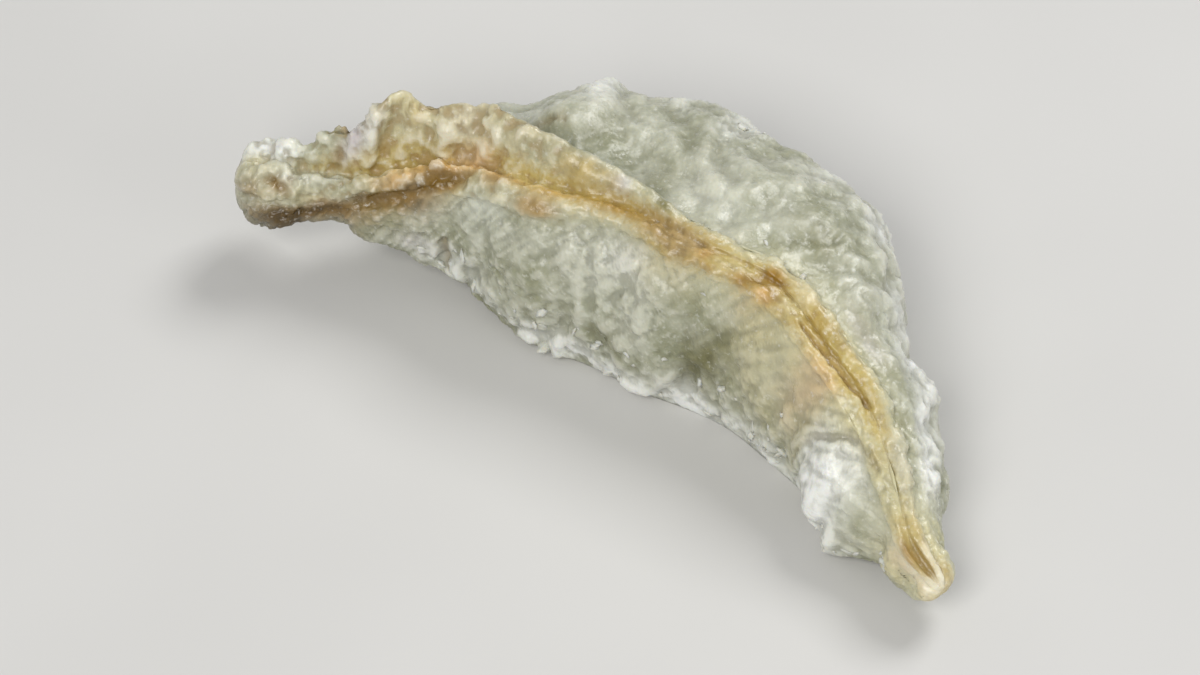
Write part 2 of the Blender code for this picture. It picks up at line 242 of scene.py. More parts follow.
# Tints of the dough, painted in this order, each as (name, screen colour, patches). A patch is
# (share of the length, side, reach along, reach round, strength). The front's come before the back's.
TINTS = (
    ("sage", (104, 101, 46), (
        (0.140, 5.7, 0.020, 0.60, 0.45), (0.365, 4.1, 0.030, 0.70, 0.22),
        (0.381, 5.15, 0.030, 0.35, 0.26), (0.467, 5.25, 0.030, 0.35, 0.60),
        (0.582, 5.25, 0.016, 0.50, 0.65), (0.585, 4.6, 0.014, 0.50, 0.35),
        (0.608, 4.85, 0.018, 0.55, 1.15), (0.635, 4.4, 0.020, 0.55, 0.60),
        (0.690, 4.95, 0.035, 0.35, 0.28),
        (0.315, -5.6, 0.018, 0.30, 0.50), (0.335, -5.2, 0.020, 0.50, 0.45),
        (0.372, -2.3, 0.020, 0.60, 0.45), (0.374, -5.8, 0.026, 0.50, 0.40),
        (0.400, -4.4, 0.030, 0.40, 0.22), (0.465, -4.75, 0.022, 0.40, 0.55),
        (0.476, -5.3, 0.022, 0.40, 0.32), (0.480, -1.9, 0.022, 1.00, 0.34),
        (0.489, -6.1, 0.030, 0.30, 0.28), (0.500, -1.5, 0.012, 0.70, 0.75),
        (0.619, -5.85, 0.014, 0.35, 0.34), (0.640, -5.2, 0.030, 0.50, 0.32),
        (0.655, -5.6, 0.022, 0.45, 0.50), (0.713, -6.0, 0.015, 0.30, 0.28),
        (0.750, -5.5, 0.030, 0.50, 0.18), (0.755, -1.7, 0.020, 1.20, 0.20),
        (0.845, -4.9, 0.018, 0.45, 0.20),
    )),
    ("aqua", (210, 212, 196), (
        (0.062, 0.9, 0.026, 1.00, 0.90), (0.102, 0.9, 0.020, 0.80, 0.60),
        (0.290, 3.1, 0.042, 1.20, 0.85), (0.367, 3.6, 0.022, 0.50, 0.40),
        (0.452, 3.9, 0.030, 0.80, 0.80), (0.511, 4.3, 0.026, 0.60, 0.70),
        (0.826, 4.0, 0.024, 0.90, 0.60), (0.872, 4.2, 0.020, 1.20, 0.80),
        (0.035, -1.5, 0.040, 1.10, 1.00), (0.105, -1.3, 0.010, 0.60, 0.60),
        (0.280, -6.0, 0.030, 0.80, 0.40), (0.402, -6.0, 0.025, 0.30, 0.35),
        (0.548, -5.0, 0.045, 0.50, 0.55),
    )),
    ("pale", (200, 200, 182), (
        (0.060, 1.2, 0.010, 0.50, 0.50), (0.085, 0.9, 0.028, 0.90, 0.70),
        (0.345, 3.75, 0.034, 0.60, 0.55), (0.405, 3.4, 0.024, 0.60, 0.50),
        (0.448, 3.5, 0.034, 0.90, 0.85), (0.505, 4.3, 0.030, 0.65, 0.75),
        (0.806, 4.3, 0.018, 0.80, 0.75), (0.841, 3.3, 0.016, 0.90, 0.75),
        (0.866, 2.8, 0.018, 0.80, 0.60), (0.872, 4.0, 0.026, 1.20, 0.60),
        (0.500, -6.5, 0.300, 3.00, 0.28), (0.520, -5.2, 0.026, 0.60, 0.55),
        (0.560, -4.3, 0.030, 0.60, 0.45), (0.591, -5.5, 0.018, 0.40, 0.60),
    )),
    ("beige", (198, 190, 150), (
        (0.040, 2.4, 0.030, 0.90, 0.60), (0.050, 0.9, 0.018, 0.60, 0.15),
        (0.085, 2.2, 0.020, 0.70, 0.60), (0.120, 1.3, 0.020, 1.20, 0.20),
        (0.250, 2.1, 0.024, 0.80, 0.70), (0.355, 2.6, 0.022, 0.60, 0.25),
        (0.600, 1.0, 0.016, 1.20, 0.40), (0.680, 3.6, 0.045, 1.10, 0.85),
        (0.700, 5.0, 0.060, 0.70, 0.25), (0.755, 3.6, 0.040, 1.10, 0.80),
        (0.785, 4.3, 0.030, 0.80, 0.25),
        (0.445, -1.4, 0.015, 0.70, 0.50),
    )),
    # White: partly the pale thin edges of the dough, partly painted rim highlight and highlight on lit
    # lobes.
    ("white_and_rim_highlight", (238, 239, 234), (
        (0.062, 1.0, 0.007, 0.40, 0.60), (0.250, 5.7, 0.060, 0.60, 0.70),
        (0.380, 6.0, 0.060, 0.50, 0.70), (0.482, 3.3, 0.030, 0.60, 0.50),
        (0.500, 6.0, 0.090, 0.40, 0.95), (0.610, 6.0, 0.060, 0.45, 0.80),
        (0.720, 5.9, 0.060, 0.45, 0.80), (0.812, 4.3, 0.018, 0.70, 0.75),
        (0.848, 3.9, 0.024, 1.00, 0.58), (0.850, 5.7, 0.040, 0.90, 0.95),
        (0.858, 5.0, 0.024, 1.10, 1.00),
        (0.040, -1.2, 0.034, 0.90, 1.10), (0.121, -0.55, 0.007, 0.35, 0.80),
        (0.152, -1.1, 0.010, 0.60, 1.20), (0.345, -6.8, 0.022, 0.50, 0.65),
        (0.425, -7.1, 0.020, 0.50, 0.45), (0.445, -1.2, 0.010, 0.60, 0.70),
        (0.500, -7.0, 0.026, 0.60, 0.70), (0.590, -7.2, 0.020, 0.55, 0.55),
        (0.655, -7.3, 0.026, 0.65, 0.75), (0.725, -7.4, 0.022, 0.80, 0.75),
        (0.785, -7.0, 0.024, 0.80, 0.90), (0.838, -6.6, 0.030, 0.75, 1.00),
        (0.885, -6.2, 0.024, 0.90, 0.85),
    )),
    ("lilac", (208, 201, 204), (
        (0.205, 5.4, 0.030, 0.60, 0.35),
        (0.132, -1.25, 0.014, 0.70, 1.20), (0.225, -5.1, 0.012, 1.00, 0.50),
        (0.240, -1.25, 0.022, 0.45, 1.00), (0.438, -1.0, 0.012, 0.50, 0.50),
        (0.765, -5.1, 0.040, 0.70, 0.35), (0.885, -2.0, 0.026, 1.20, 0.50),
    )),
    ("bone", (196, 185, 148), (
        (0.030, 0.5, 0.035, 1.60, 0.40), (0.075, 0.6, 0.022, 1.40, 0.10),
        (0.185, -1.5, 0.040, 1.00, 0.80), (0.250, -1.5, 0.045, 1.00, 0.85),
        (0.320, -1.5, 0.040, 0.90, 0.75), (0.385, -1.3, 0.030, 0.70, 0.40),
    )),
    # Painted shade in the bead's pits and on its darker lower side.
    ("bead_shade", (140, 120, 90), (
        (0.018, 2.4, 0.022, 0.90, 0.75), (0.054, 1.5, 0.008, 0.35, 0.60),
        (0.113, -0.4, 0.007, 0.40, 0.50),
    )),
    ("straw", (198, 191, 150), (
        (0.868, 0.8, 0.020, 1.30, 0.80), (0.905, 0.8, 0.022, 1.60, 1.10),
        (0.612, -1.8, 0.020, 0.80, 0.85), (0.890, -1.8, 0.030, 1.60, 0.60),
    )),
    ("cream", (214, 205, 160), (
        (0.060, 0.5, 0.020, 0.60, 0.20), (0.310, 1.9, 0.018, 0.50, 0.45),
        (0.520, 3.2, 0.050, 0.50, 0.35), (0.618, 0.8, 0.013, 0.90, 0.70),
        (0.690, 0.6, 0.020, 1.50, 0.55), (0.740, 2.4, 0.060, 0.80, 0.75),
        (0.822, 2.1, 0.034, 1.00, 0.85), (0.950, 5.0, 0.035, 1.60, 0.85),
        (0.180, -1.3, 0.022, 0.70, 0.55), (0.250, -1.0, 0.060, 0.50, 0.35),
        (0.720, -3.6, 0.130, 0.80, 0.45), (0.936, -1.4, 0.016, 2.20, 0.60),
        (0.950, -5.0, 0.035, 2.00, 0.85),
    )),
    # Bright cream rims: partly the dough's pale edge, partly painted rim highlight.
    ("rim", (242, 235, 208), (
        (0.970, 2.6, 0.026, 1.50, 1.00), (0.992, 0.0, 0.007, 8.00, 0.90),
        (0.694, -1.2, 0.014, 1.20, 0.35), (0.700, -2.3, 0.120, 0.50, 0.20),
        (0.970, -2.6, 0.026, 1.50, 1.00),
    )),
    ("toast", (168, 143, 94), (
        (0.172, 1.3, 0.034, 0.90, 0.30), (0.360, 1.8, 0.026, 0.75, 1.00),
        (0.500, 0.8, 0.032, 1.60, 1.00), (0.548, 0.6, 0.030, 1.90, 1.15),
        (0.958, 1.3, 0.014, 0.90, 0.90), (0.968, 0.3, 0.016, 0.60, 0.55),
        (0.974, 1.0, 0.010, 0.60, 0.80),
        (0.193, -0.9, 0.008, 0.50, 0.40), (0.240, -0.3, 0.030, 0.30, 0.40),
        (0.400, -0.9, 0.036, 0.70, 0.60),
    )),
    ("honey", (187, 166, 101), (
        (0.505, 2.2, 0.024, 0.50, 0.80), (0.660, 2.4, 0.022, 0.80, 0.80),
        (0.692, 1.8, 0.018, 0.70, 0.50), (0.868, 0.9, 0.014, 1.00, 0.50),
        (0.926, 0.6, 0.012, 1.60, 0.50), (0.971, 0.9, 0.012, 0.80, 1.00),
        (0.165, -0.4, 0.014, 0.50, 0.50), (0.190, -1.0, 0.013, 0.60, 0.45),
        (0.228, -1.9, 0.010, 0.60, 0.40), (0.395, -0.9, 0.034, 0.70, 1.00),
        (0.830, -1.2, 0.022, 0.80, 0.70), (0.940, -1.8, 0.018, 1.60, 0.80),
    )),
    ("tan", (160, 120, 34), (
        (0.030, 2.0, 0.016, 0.60, 0.35), (0.055, 4.4, 0.040, 1.00, 0.85),
        (0.115, 4.0, 0.040, 1.20, 0.95), (0.190, 2.9, 0.042, 1.20, 0.95),
        (0.235, 1.6, 0.024, 0.70, 0.90), (0.300, 1.1, 0.024, 0.50, 0.80),
        (0.360, 1.9, 0.026, 0.50, 0.50), (0.450, 0.8, 0.045, 0.90, 0.75),
        (0.584, 1.9, 0.016, 0.60, 0.75), (0.626, 1.5, 0.018, 1.00, 1.00),
        (0.681, 1.5, 0.016, 0.60, 0.16), (0.760, 0.1, 0.040, 0.60, 0.45),
        (0.958, 1.2, 0.012, 0.80, 0.60), (0.968, 0.3, 0.014, 0.50, 0.25),
        (0.110, -5.0, 0.030, 1.60, 0.35), (0.155, -5.2, 0.018, 0.90, 0.45),
        (0.650, -0.3, 0.014, 1.20, 0.60), (0.654, -0.8, 0.016, 0.90, 1.00),
    )),
    ("orange", (220, 172, 100), (
        (0.100, 2.9, 0.020, 0.60, 0.25), (0.176, 1.25, 0.026, 0.65, 0.60),
        (0.225, 1.0, 0.026, 0.50, 0.70), (0.262, 0.4, 0.028, 0.60, 0.85),
        (0.305, 0.75, 0.030, 0.45, 0.60), (0.375, 0.85, 0.040, 0.40, 0.40),
        (0.569, 0.7, 0.011, 0.80, 0.55), (0.661, 1.55, 0.015, 0.90, 0.75),
        (0.772, 1.8, 0.026, 1.00, 0.70),
        (0.155, -5.2, 0.018, 0.90, 0.40),
    )),
    ("peach", (214, 186, 146), (
        (0.642, 2.7, 0.018, 0.80, 0.30), (0.750, 4.1, 0.026, 0.80, 0.40),
        (0.765, 2.9, 0.028, 1.10, 0.60), (0.955, 3.6, 0.022, 1.00, 0.50),
        (0.262, -0.2, 0.020, 0.50, 0.85),
    )),
    # Dark brown: partly the browned underside, partly painted shadow under the neck, the bead and the
    # fin.
    ("brown_and_shadow", (72, 52, 0), (
        (0.055, 4.3, 0.030, 0.80, 0.90), (0.070, 5.8, 0.060, 1.20, 0.90),
        (0.070, 8.0, 0.060, 1.60, 0.85), (0.108, 3.8, 0.034, 0.80, 1.05),
        (0.160, 2.6, 0.026, 0.60, 1.20), (0.205, 2.1, 0.020, 0.60, 1.10),
        (0.205, 3.5, 0.020, 0.60, 0.50), (0.234, 1.4, 0.020, 0.45, 0.90),
        (0.760, 0.1, 0.022, 0.40, 0.25),
    )),
)

# Facets of the wrapper that stayed smooth, as patches of how much of the finer relief they lose.
SMOOTH = (
    (0.300, 2.6, 0.030, 0.90, 0.40), (0.725, 3.3, 0.055, 1.80, 0.62), (0.878, 4.2, 0.030, 1.60, 0.75),
    (0.888, 0.0, 0.030, 0.60, 0.80), (0.960, 0.0, 0.045, 6.00, 0.85),
    (0.450, -4.8, 0.300, 1.80, 0.25), (0.560, -5.0, 0.070, 1.00, 0.55),
)

# A thin flake of batter that sticks out from the lower rim of the front.
FLAKE_AT, FLAKE_SIZE, FLAKE_RISE = (0.389, 6.3), 0.0009, 0.15
FLAKE_STRETCH, FLAKE_TIP = (0.62, 0.34, 0.9), 0.5
FLAKE_PRONGS, FLAKE_PRONG_GRAIN = 0.7, 3.1

# Loose crumbs of batter, most of them on the lower rim of the front and none on the crest. Each
# share is of the tries at such a place that leave a crumb.
CRUMBS, CRUMB_SIZE, CRUMB_SEED = 100, 0.000506, 11
CRUMB_SIZES, CRUMB_TONES = (0.3, 1.0), (0.0, 0.06)
CRUMB_LONG, CRUMB_WIDE, CRUMB_FLAT = (0.8, 1.8), (0.4, 0.9), (0.2, 0.55)
CRUMB_LUMPS, CRUMB_LUMP_GRAIN, CRUMB_PROUD = 0.95, 2.1, 0.25
CREST_SIDE, RIM_SIDES, RIM_FROM = 3.0, (5.0, 6.6), 0.20
RIM_SHARE, OTHER_SHARE = 0.9, 0.02
ENDS_FREE = (8, 40)
LOWEST_CRUMB, FACING_DOWN = 0.0002, -0.5

# The camera looks down on the dumpling from the photograph's side.
CAMERA_AZIMUTH, CAMERA_ELEVATION = 36.0, 50.0
CAMERA_DISTANCE = 0.75
VIEW_WIDTH = 0.108
AIM = Vector((0.0, -0.0055, 0.006))
AIM_SHIFT = (-0.00374, -0.00135)

# Soft square lights, each as (name, azimuth, elevation, size, power, colour), and the plain floor.
LIGHT_DISTANCE = 0.80
LIGHTS = (
    ("key", 10.0, 48.0, 0.38, 3.3, (1.0, 0.99, 0.97)),
    ("rear", 172.0, 52.0, 0.32, 2.9, (1.0, 1.0, 1.0)),
    ("side", 95.0, 25.0, 0.30, 0.6, (1.0, 1.0, 1.0)),
)
WORLD_COLOUR, WORLD_STRENGTH = (0.97, 0.98, 1.0, 1.0), 0.34
FLOOR_REACH, FLOOR_DROP = 4.0, 0.00002


def keyed(keys, u):
    """The value at u of a smooth curve through (place, value) keys."""
    places, values = np.array(keys).T
    slopes = np.gradient(values, places)
    i = min(max(int(np.searchsorted(places, u)) - 1, 0), len(places) - 2)
    span = places[i + 1] - places[i]
    t = (u - places[i]) / span
    rise = 3 * t**2 - 2 * t**3
    leave = (t**3 - 2 * t**2 + t) * span * slopes[i]
    arrive = (t**3 - t**2) * span * slopes[i + 1]
    return values[i] + (values[i + 1] - values[i]) * rise + leave + arrive


def frill(u):
    """How frilled the crest is at u, from 1 at the -X end to 0 where it runs smooth."""
    return max(0.0, 1.0 - u / FRILL_END)


def seam_point(u):
    """(x, y) of the seam in plan at share u of the length, with the chord's ends at y = 0."""
    wander = SEAM_WANDER * math.sin(SEAM_WAVES * math.pi * u + 0.6) * math.sin(math.pi * u)
    return np.array([LENGTH * (u - 0.5), BOW * keyed(BOW_SHARE, u) + wander])


def across_seam(u):
    """Unit vector in plan from the seam to the outer side, square to the sweep of the crescent."""
    near, far = max(u - TURN_REACH, 0.0), min(u + TURN_REACH, 1.0)
    run = LENGTH * (far - near)
    rise = BOW * (keyed(BOW_SHARE, far) - keyed(BOW_SHARE, near))
    return np.array([-rise, run]) / math.hypot(run, rise)


def end_scale(u):
    """How much of its size a section keeps: 0 at either end, and all of it past the rounding."""
    near = min(u / END_ROUND[0], (1 - u) / END_ROUND[1], 1.0)
    return math.sqrt(max(1 - (1 - near) ** 2, 0.0))


def section_controls(u):
    """The section's control points (n, z) at u, where n runs from the seam to the outer side."""
    under = keyed(UNDERSIDE, u)
    root = CREST_HEIGHT * keyed(ROOT_SHARE, u)
    half = keyed(CREST_HALF, u)
    front = max(FRONT_REACH * keyed(FRONT_SHARE, u), half + LEAST_SHOULDER)
    back = max(BACK_REACH * keyed(BACK_SHARE, u), half + LEAST_SHOULDER)
    lean = keyed(LIP_LEAN, u) + RUFFLE * math.sin(2 * math.pi * u / RUFFLE_PITCH) * frill(u)
    front_lip = keyed(FRONT_LIP, u)
    back_lip = keyed(BACK_LIP, u) + SCALLOP * math.sin(2 * math.pi * u / SCALLOP_PITCH) * frill(u)
    deep = root - under
    return np.array([
        (lean * 0.35, root + front_lip - GROOVE_DEPTH),
        (lean * 0.20 - half * 0.55, root + front_lip),
        (-half, root + front_lip * 0.45),
        (-half - (front - half) * 0.08, root - deep * 0.05),
        (-half - (front - half) * 0.64, root - deep * 0.22),
        (-front, under + deep * 0.48),
        (-front * 0.92, under + deep * 0.17),
        (-front * 0.62, under),
        ((back - front) * 0.5, under),
        (back * 0.66, under),
        (back * 0.93, under + deep * 0.20),
        (back, under + deep * 0.46),
        (half + (back - half) * 0.85, under + deep * 0.79),
        (half + (back - half) * 0.48, under + deep * 0.97),
        (half + (back - half) * 0.19, root - deep * 0.01),
        (half, root + back_lip * 0.10),
        (half + lean * 0.6, root + back_lip * 0.50),
        (half * 0.72 + lean, root + back_lip * 0.97),
        (half * 0.25 + lean * 0.85, root + back_lip * 0.90),
    ])


def places_round(steps):
    """The place of each ring point round the section, counted in control points."""
    return np.concatenate([i + np.arange(stretch) / stretch for i, stretch in enumerate(steps)])


def round_curve(controls, places):
    """Points at those places on a closed Catmull-Rom curve through the control points."""
    index = places.astype(int)
    t = (places - index)[:, None]
    a, b, c, d = (controls[(index + k) % len(controls)] for k in (-1, 0, 1, 2))
    square = (2 * a - 5 * b + 4 * c - d) * t**2
    cube = (3 * b - a - 3 * c + d) * t**3
    return 0.5 * (2 * b + (c - a) * t + square + cube)


def station_places(count):
    """Shares of the length for the stations, crowded at both ends where the form rounds off."""
    even = np.linspace(0.0, 1.0, count + 2)[1:-1]
    return even - END_CROWDING * np.sin(2 * math.pi * even) / (2 * math.pi)


def smooth_skin(stations, places):
    """The plain form's points, as an array of (station, ring point, xyz)."""
    rows = []
    for u in stations:
        ring = round_curve(section_controls(u), places)
        middle = ring.mean(axis=0)
        ring = middle + (ring - middle) * end_scale(u)
        plan = seam_point(u) + ring[:, :1] * across_seam(u)
        rows.append(np.column_stack([plan, ring[:, 1]]))
    return np.array(rows)


def outward_normals(skin):
    """Unit normals of the grid, facing out."""
    along = np.gradient(skin, axis=0)
    round_section = np.roll(skin, -1, axis=1) - np.roll(skin, 1, axis=1)
    normals = np.cross(round_section, along)
    return normals / np.maximum(np.linalg.norm(normals, axis=2, keepdims=True), 1e-12)


def lip_share(place):
    """1 on the pinched lips, and 0 from their roots down."""
    up = min(place, CONTROLS - place)
    return min(max(FRONT_ROOT - up, 0.0), 1.0)


def calm(place):
    """Share of the relief that is kept at a place: less in the groove and at the crest's roots."""
    kept = 1.0
    for crease in (0, FRONT_ROOT, BACK_ROOT, CONTROLS):
        kept *= 1 - CREASE_CALM * math.exp(-(((place - crease) / CREASE_REACH) ** 2))
    return kept


def bumps(u, place):
    """Height of the single bumps and dents at a share of the length and a place round."""
    height = 0.0
    for at, centre, reach, spread, size in BUMPS:
        away = abs(place - centre)
        away = min(away, CONTROLS - away)
        height += size * math.exp(-(((u - at) / reach) ** 2) - (away / spread) ** 2)
    return height


def blister(point, size):
    """A dome over each random cell of that size, from under 0 at its rim to over 0 at its top."""
    gaps, centres = noise.voronoi(point / size + SKIN_OFFSET)
    width = 0.62 + 0.20 * noise.cell(centres[0] * 17.3)
    return max(0.0, 1.0 - (gaps[0] / width) ** 2) * width - BLISTER_MEAN


def slim(u):
    """Share of the relief that is kept at u: less where the dumpling narrows to its ends."""
    return min(1.0, END_RELIEF + (1 - END_RELIEF) * min(u, 1 - u) / END_REACH)


def relief(point, u, place):
    """Height of the folds, crimps, lumps and blisters over the plain form."""
    lips = lip_share(place)
    crimps = CRIMP * math.sin(2 * math.pi * u / CRIMP_PITCH) * frill(u) * lips
    turns = u / FOLD_PITCH + FOLD_STRAY * noise.noise(point / (1.5 * LUMP_SIZE) + SKIN_OFFSET)
    folds = FOLD_HEIGHT * math.sin(2 * math.pi * turns)
    lumps = LUMP_HEIGHT * noise.noise(point / LUMP_SIZE + SKIN_OFFSET)
    patch = 0.55 + 0.9 * noise.noise(point / (2.2 * LUMP_SIZE) - SKIN_OFFSET)
    raised = BLISTER_HEIGHT * blister(point, BLISTER_SIZE) * min(max(patch, 0.15), 1.0)
    skin = lumps + (1 - lips) * folds + (1 - 0.5 * lips) * raised
    return bumps(u, place) + crimps + calm(place) * slim(u) * skin


def fried_skin(plain, stations, places):
    """The skin's points with the part's own relief, flat where it stands, and its heights."""
    normals = outward_normals(plain)
    heights = np.zeros(plain.shape[:2])
    for row, u in enumerate(stations):
        for column, place in enumerate(places):
            point = Vector(plain[row, column])
            heights[row, column] = relief(point, u, place) * min(max(point.z / BASE_FADE, 0.0), 1.0)
    skin = plain + normals * heights[..., None]
    skin[..., 2] = np.maximum(skin[..., 2], 0.0)
    return skin, heights


def centre_footprint(skin):
    """Moves the skin so that the origin is in the middle of its footprint."""
    low, high = skin.min(axis=(0, 1)), skin.max(axis=(0, 1))
    skin[..., :2] -= (low[:2] + high[:2]) / 2
    return skin


def bell(x, centre, reach):
    """A smooth hump: 1 at the centre, and nearly 0 past twice the reach."""
    return np.exp(-(((x - centre) / reach) ** 2))


def step(x, start, end):
    """Rises smoothly from 0 at start to 1 at end. It falls where end is below start."""
    t = np.clip((x - start) / (end - start), 0.0, 1.0)
    return t * t * (3 - 2 * t)


def field(points, size, offset, octaves=3):
    """Fractal noise of that grain at each point, roughly from -1 to 1. Offsets keep fields apart."""
    flat = points.reshape(-1, 3) / size + np.array(offset)
    values = [noise.fractal(Vector(p), 1.0, 2.0, octaves) for p in flat]
    return np.array(values).reshape(points.shape[:2])


def bubble_field(points, size, offset):
    """Single round blisters of that size, of random width: 1 at the top of a full one."""
    flat = points.reshape(-1, 3) / size
    heights = []
    for p in flat:
        gaps, centres = noise.voronoi(Vector(p) + offset)
        width = BUBBLE_WIDTH + BUBBLE_WIDTH_STRAY * noise.cell(centres[0] * 23.7)
        heights.append(math.sqrt(max(0.0, 1.0 - (gaps[0] / width) ** 2)))
    return np.array(heights).reshape(points.shape[:2])


def blurred(grid, passes):
    """The grid's values, averaged with their neighbours that many times."""
    for _ in range(passes):
        tall = np.concatenate([grid[:1], grid, grid[-1:]])
        grid = (tall[:-2] + 2 * grid + tall[2:]) / 4
        grid = (np.roll(grid, 1, axis=1) + 2 * grid + np.roll(grid, -1, axis=1)) / 4
    return grid


def sides(places):
    """Places counted out from the groove: above 0 down the front, and below 0 down the back."""
    return np.where(places > CONTROLS / 2, places - CONTROLS, places)


def way_down(skin):
    """How far down its own section each point lies from the groove, in metres."""
    steps = np.linalg.norm(np.roll(skin, -1, axis=1) - skin, axis=2)
    front = np.cumsum(steps, axis=1) - steps
    return np.minimum(front, steps.sum(axis=1, keepdims=True) - front)


def patches(u, side, table):
    """The sum of a table's soft oval patches."""
    total = np.zeros(np.broadcast(u, side).shape)
    for at, centre, reach, spread, strength in table:
        total += strength * bell(u, at, reach) * bell(side, centre, spread)
    return total


def from_line(u, side, pace, start, end):
    """Distance in metres of each point from a line between two places on the skin."""
    run, turn = LENGTH * (end[0] - start[0]), pace * (end[1] - start[1])
    along, across = LENGTH * (u - start[0]), pace * (side - start[1])
    t = np.clip((along * run + across * turn) / (run**2 + turn**2), 0.0, 1.0)
    return np.hypot(along - t * run, across - t * turn)


class Sheet:
    """The skin's grid with what the relief and the masks need of it."""

    def __init__(self, skin, stations, places):
        self.skin = skin
        self.u = stations[:, None] + WANDER_ALONG * field(skin, WANDER_ALONG_SIZE, (1, 5, 9))
        self.even_side = np.broadcast_to(sides(places)[None, :], skin.shape[:2])
        self.side = self.even_side + WANDER_ROUND * field(skin, WANDER_ROUND_SIZE, (7, 3, 2))
        self.down = way_down(skin)
        reach = self.down * np.sign(self.even_side)
        spread = np.abs(np.roll(reach, -1, axis=1) - np.roll(reach, 1, axis=1))
        turns = np.abs(np.roll(places, -1) - np.roll(places, 1))
        self.pace = np.clip(spread / np.minimum(turns, CONTROLS - turns), *PACE_LIMITS)
        length = np.broadcast_to(LENGTH * stations[:, None] / STREAK_LENGTH, reach.shape)
        self.streaks = field(np.stack([length, reach / STREAK_WIDTH, 0 * reach], axis=-1), 1.0, (8, 1, 4))

    def crease(self, start, end, half, *_):
        """1 along a line on the skin, falling to 0 past its half width."""
        return bell(from_line(self.u, self.side, self.pace, start, end), 0.0, half)


def skin_masks(sheet, stations):
    """Where each colour of the dough lies, as values from 0 to 1 over the grid."""
    u, side = sheet.u, sheet.side
    patchy = field(sheet.skin, TINT_GRAIN, (2, 8, 4))
    front = np.array([keyed(GOLD_FRONT, s) for s in stations])[:, None]
    back = np.array([keyed(GOLD_BACK, s) for s in stations])[:, None]
    past = sheet.down - np.where(side > 0, front, back) - GOLD_STRAY * patchy
    masks = {"gold": step(past, GOLD_FADE, -2 * GOLD_FADE), "halo": step(past, HALO, 0.0)}
    for name, _, table in TINTS:
        masks[name] = np.clip(patches(u, side, table) * (1 + TINT_STRAY * patchy), 0.0, 1.0)
    masks["shade"] = np.clip(sum(crease[4] * sheet.crease(*crease) for crease in CREASES), 0.0, 1.0)
    masks["streak"] = sheet.streaks
    bead = BEAD_FRILLS + (1 - BEAD_FRILLS) * step(u, *BEAD_FADE)
    masks["frills"] = step(np.abs(side), *FRILLS_ROUND) * step(u, *FRILLS_ALONG) * bead
    return masks


def fine_relief(sheet, stations):
    """Height of the finer blisters, fibres, crinkles and creases over the part's own skin."""
    skin, u, side = sheet.skin, sheet.u, sheet.even_side
    crest = step(np.abs(side), *CREST_FADE)
    crumpled = crest * (CRUMPLE_LEAST + (1 - CRUMPLE_LEAST) * step(u, *CRUMPLE_FADE))
    kept = 1 - np.clip(patches(u, side, SMOOTH), 0.0, MOST_SMOOTHED)
    density = BUBBLE_SHARE + BUBBLE_SHARE_STRAY * field(skin, BUBBLE_PATCH, (5, 1, 8))
    density = np.clip(density, BUBBLE_LEAST, 1.0) * (1 - CREST_SPARED * crest)
    height = np.zeros(skin.shape[:2])
    for size, tall, offset in BUBBLES:
        height += tall * bubble_field(skin, size, offset) * density
    along = LENGTH * stations[:, None] + FIBRE_SLANT * sheet.down * np.sign(side)
    run = np.stack([along / FIBRE_WIDTH, sheet.down / FIBRE_LENGTH, FIBRE_DRIFT * side], axis=-1)
    fibres = np.where(side > 0, FIBRES_FRONT, FIBRES_BACK) * (1 - CREST_SPARED * crest)
    height += FIBRE_HEIGHT * (FIBRE_MEAN - np.abs(field(run, 1.0, (6, 2, 3)))) * fibres
    height += CRINKLE_HEIGHT * field(skin, CRINKLE_SIZE, (3, 6, 1))
    height += CRUMPLE_HEIGHT * crumpled * field(skin, CRUMPLE_SIZE, (9, 9, 2))
    height += STREAK_HEIGHT * crest * sheet.streaks
    rims = sum(bell(side, at, reach) for at, reach in RIMS)
    for fade in RIM_FADES:
        rims = rims * step(u, *fade)
    height += RAGGED_HEIGHT * rims * field(skin, RAGGED_SIZE, (4, 7, 2), 2)
    height = height * kept + patches(u, side, CORNERS)
    for crease in CREASES:
        height -= crease[3] * sheet.crease(*crease)
    return height


def finish_skin(skin, heights, stations):
    """Raises the fine relief on the skin, and fades it where the dumpling stands and at its tips."""
    normals = outward_normals(skin)
    heights = heights * np.clip(np.minimum(stations, 1 - stations) / TIP_FADE, 0.0, 1.0)[:, None]
    standing = np.clip(skin[..., 2] / STANDING_FADE, 0.0, 1.0)
    skin = skin + normals * (heights * standing)[..., None]
    skin[..., 2] = np.maximum(skin[..., 2], 0.0)
    return skin


def skin_mesh(name, skin):
    """A closed mesh that joins the sections by quads, with a fan over the last one at each end."""
    rows, columns = skin.shape[:2]
    corners = np.arange(rows * columns).reshape(rows, columns)
    near, far = corners[:-1], corners[1:]
    quads = np.stack([near, np.roll(near, -1, 1), np.roll(far, -1, 1), far], axis=-1).reshape(-1, 4)
    poles = [skin[0].mean(axis=0), skin[-1].mean(axis=0)]
    first, last = rows * columns, rows * columns + 1
    fans = [(first, corners[0][(i + 1) % columns], corners[0][i]) for i in range(columns)]
    fans += [(last, corners[-1][i], corners[-1][(i + 1) % columns]) for i in range(columns)]
    mesh = bpy.data.meshes.new(name)
    points = [tuple(p) for p in skin.reshape(-1, 3)] + [tuple(p) for p in poles]
    mesh.from_pydata(points, [], [tuple(map(int, q)) for q in quads] + fans)
    mesh.update()
    mesh.shade_smooth()
    return mesh


def store(mesh, name, grid):
    """Stores the grid's values on the mesh's points, with the end rows' means at the two poles."""
    layer = mesh.attributes.new(name, "FLOAT", "POINT")
    values = np.concatenate([grid.reshape(-1), [grid[0].mean(), grid[-1].mean()]])
    layer.data.foreach_set("value", values.astype(np.float32))


def linear(colour):
    """A linear colour from the 0 to 255 values of a screen."""
    shares = [min(c / 255, 1.0) for c in colour]
    return (*(c / 12.92 if c <= 0.04045 else ((c + 0.055) / 1.055) ** 2.4 for c in shares), 1.0)


